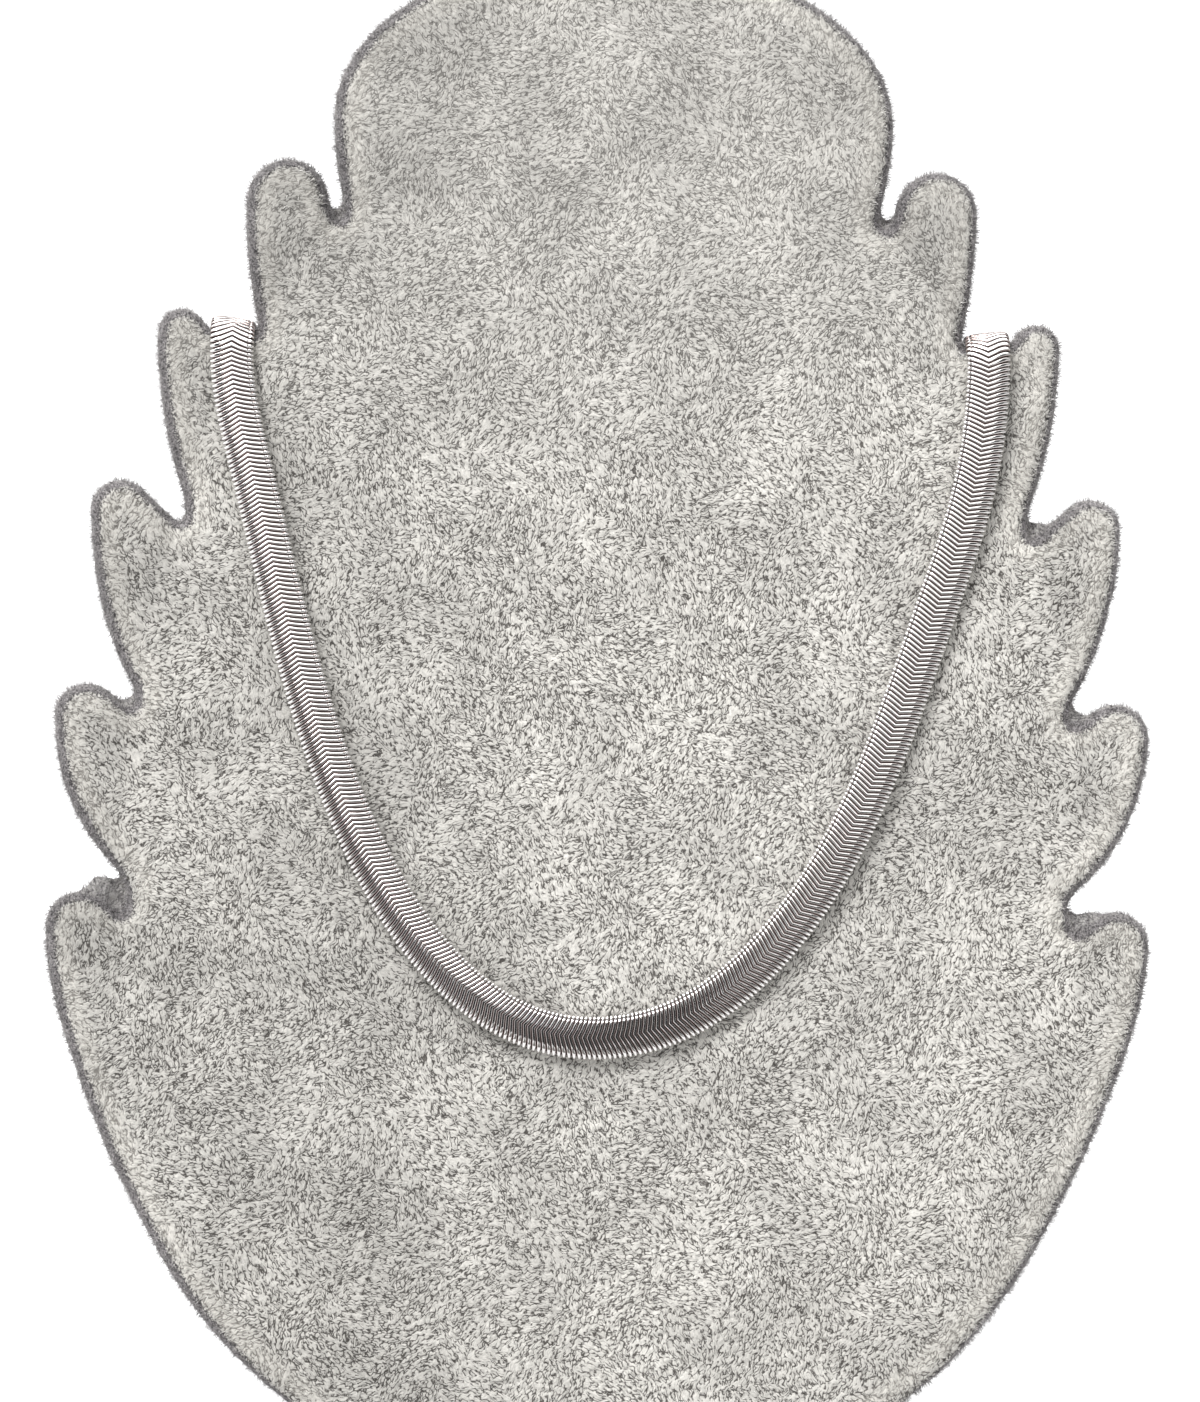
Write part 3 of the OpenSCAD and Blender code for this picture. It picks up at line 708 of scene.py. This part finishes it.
def row_of_plates(name, first, number):
    """A stretch of the chain, by the number of its first plate and how many it has."""
    obj = bpy.data.objects.new(name, one_plate.copy())
    bpy.context.scene.collection.objects.link(obj)
    row = obj.modifiers.new("row", "ARRAY")
    row.count = number
    row.use_relative_offset = False
    row.use_constant_offset = True
    row.constant_offset_displace = (0, 0, PLATE_PITCH * MM)
    settle(obj)
    lay_along(obj, route, first_plate + first * PLATE_PITCH * MM)
    smooth(obj)
    return obj


plates = row_of_plates("snake_chain", PLATES_BEHIND, count - 2 * PLATES_BEHIND)
plates_left = row_of_plates("snake_chain_behind_left", 0, PLATES_BEHIND)
plates_right = row_of_plates("snake_chain_behind_right", count - PLATES_BEHIND, PLATES_BEHIND)

silver_wear = new_effect("silver_wear", WEAR_SPOTS, 0.3, 0.7)
silver_mat, silver_tree, silver_skin = new_material("polished_silver", Metallic=1.0)
into_gap = axes(silver_tree, add_node(silver_tree, "ShaderNodeUVMap", {"uv_map": "plate"}).outputs[0])["Y"]
# painted shade: the plates darken over their flanks and into the gaps
in_gap = ramp(silver_tree, into_gap, 0.70, 0.86, 0.0, 1.0)
flank_shade_tone = blend_colour(silver_tree, ramp(silver_tree, into_gap, 0.44, 0.68, 0.0, 1.0), SILVER, FLANK_SHADE)
silver_tree.links.new(blend_colour(silver_tree, in_gap, flank_shade_tone, GAP_SHADE), silver_skin.inputs["Base Color"])
# the painted shade in the gaps isn't metallic
silver_tree.links.new(ramp(silver_tree, in_gap, 0.0, 1.0, 1.0, 0.1), silver_skin.inputs["Metallic"])
plate_wear = use_effect(silver_tree, silver_wear, object_place(silver_tree), WEAR_SPOTS)
silver_tree.links.new(ramp(silver_tree, plate_wear, 0.0, 1.0, 0.05, 0.13), silver_skin.inputs["Roughness"])
for stretch in (plates, plates_left, plates_right):
    stretch.data.materials.append(silver_mat)
    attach(stretch, "root")
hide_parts("chain")

# the linked inner parts of the plates, which show only as painted shade in the gaps
core_bm = bmesh.new()
bmesh.ops.create_circle(core_bm, cap_ends=True, segments=CORE_SIDES, radius=1.0)
bmesh.ops.scale(core_bm, vec=(CORE_HALF_WIDTH * MM, CORE_HALF_THICK * MM, 1), verts=core_bm.verts)
drawn_out = bmesh.ops.extrude_face_region(core_bm, geom=list(core_bm.faces))
bmesh.ops.translate(core_bm, vec=(0, 0, chain_length - 2 * CORE_SHORT * MM),
                    verts=[g for g in drawn_out["geom"] if isinstance(g, bmesh.types.BMVert)])
lengthwise = [e for e in core_bm.edges if e.calc_length() > 0.1]
bmesh.ops.subdivide_edges(core_bm, edges=lengthwise, cuts=CORE_CUTS)
bmesh.ops.recalc_face_normals(core_bm, faces=core_bm.faces)
core = new_object("chain_core", core_bm)
lay_along(core, route, CORE_SHORT * MM)
smooth(core)
core_mat, core_tree, core_skin = new_material("core_shade_silver", Metallic=0.6, Roughness=0.5)
core_wear = use_effect(core_tree, silver_wear, object_place(core_tree), CORE_SPOTS)
core_tree.links.new(blend_colour(core_tree, core_wear, CORE_SHADE, CORE_SHADE_WORN), core_skin.inputs["Base Color"])
core.data.materials.append(core_mat)
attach(core, "root")

# ---------------------------------------------------------------- end caps and clasp
# Pressed silver caps crimped over the chain's ends, each with a soldered wire loop, and the small
# cast clasp that joins them behind the board; all lightly brushed, with a few duller spots.
CAP_ROUNDING = 0.12
FLAT_ANGLE, SHARP_ANGLE = math.radians(1), math.radians(40)
CAP_SILVER, CAP_DULL = (0.93, 0.92, 0.90, 1), (0.66, 0.62, 0.58, 1)
# scratches to a metre, along the way the caps are brushed and across it
BRUSHED = (400.0, 6000.0, 6000.0)


def softened(name, node, edge, segments, mat):
    """A copy of a CAD node with its flats made whole and its sharp edges rounded over."""
    bm = cad_copy(node)
    bmesh.ops.dissolve_limit(bm, angle_limit=FLAT_ANGLE, verts=bm.verts, edges=bm.edges)
    sharp = [e for e in bm.edges if len(e.link_faces) == 2 and e.calc_face_angle() > SHARP_ANGLE]
    bmesh.ops.bevel(bm, geom=sharp, offset=edge * MM, segments=segments, profile=0.5, affect="EDGES",
                    material=-1, clamp_overlap=True)
    obj = new_object(name, bm)
    smooth(obj)
    obj.data.materials.append(mat)
    crisp = obj.modifiers.new("crisp", "WEIGHTED_NORMAL")
    crisp.keep_sharp = True
    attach(obj, "root")
    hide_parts(node)
    return obj


cap_mat, cap_tree, cap_skin = new_material("brushed_silver", Metallic=1.0)
cap_place = object_place(cap_tree)
scratches = noise(cap_tree, stretched(cap_tree, cap_place, BRUSHED), scale=1.0, detail=3.0).outputs[0]
dulled = ramp(cap_tree, use_effect(cap_tree, silver_wear, cap_place, CAP_SPOTS), 0.5, 1.0, 0.0, 1.0)
cap_tree.links.new(blend_colour(cap_tree, dulled, CAP_SILVER, CAP_DULL), cap_skin.inputs["Base Color"])
cap_tree.links.new(ramp(cap_tree, scratches, 0.3, 0.7, 0.14, 0.30), cap_skin.inputs["Roughness"])
emboss(cap_tree, cap_skin, scratches, strength=0.15, distance=0.00004)
for name, node in (("crimped_cap_left", "end_cap_left"), ("crimped_cap_right", "end_cap_right"),
                   ("cast_clasp", "clasp")):
    part = softened(name, node, CAP_ROUNDING, segments=2, mat=cap_mat)

# ---------------------------------------------------------------- back panel and easel leg
# A plain grey card panel glued over the turned-in plush, and a leg of the same card with a creased
# flap at its top; the covering paper has a fine grain and is rubbed pale along its cut edges.
CARD_ROUNDING = 0.3
# faces smaller than this, in square metres, are the rounded cut edges
RUBBED_FACE = 60e-6
CARD_DARK, CARD_LIGHT = (0.150, 0.150, 0.155, 1), (0.195, 0.195, 0.20, 1)
CARD_RUBBED = (0.34, 0.33, 0.32, 1)
card_mat, card_tree, card_skin = new_material("grey_card", Roughness=0.85, Specular_IOR_Level=0.25)
card_place = object_place(card_tree)
grain = noise(card_tree, card_place, scale=3800.0, detail=3.0).outputs[0]
card_clouds = noise(card_tree, card_place, scale=45.0, detail=3.0).outputs[0]
card_shade = combine(card_tree, "ADD", ramp(card_tree, grain, 0.3, 0.7, 0.0, 0.6, smooth=False),
                     ramp(card_tree, card_clouds, 0.3, 0.7, 0.0, 0.4, smooth=False))
rubbed = combine(card_tree, "MULTIPLY", kept_value(card_tree, "rubbed"),
                 ramp(card_tree, grain, 0.35, 0.6, 0.3, 1.0))
card_tone = blend_colour(card_tree, rubbed, blend_colour(card_tree, card_shade, CARD_DARK, CARD_LIGHT), CARD_RUBBED)
card_tree.links.new(card_tone, card_skin.inputs["Base Color"])
emboss(card_tree, card_skin, grain, strength=0.4, distance=0.00012)
for name, node in (("card_panel", "back_panel"), ("card_leg", "easel_leg")):
    part = softened(name, node, CARD_ROUNDING, segments=3, mat=card_mat)
    on_cut_edge = np.zeros(len(part.data.vertices))
    for polygon in part.data.polygons:
        if polygon.area < RUBBED_FACE:
            on_cut_edge[list(polygon.vertices)] = 1
    keep_value(part, "rubbed", on_cut_edge)
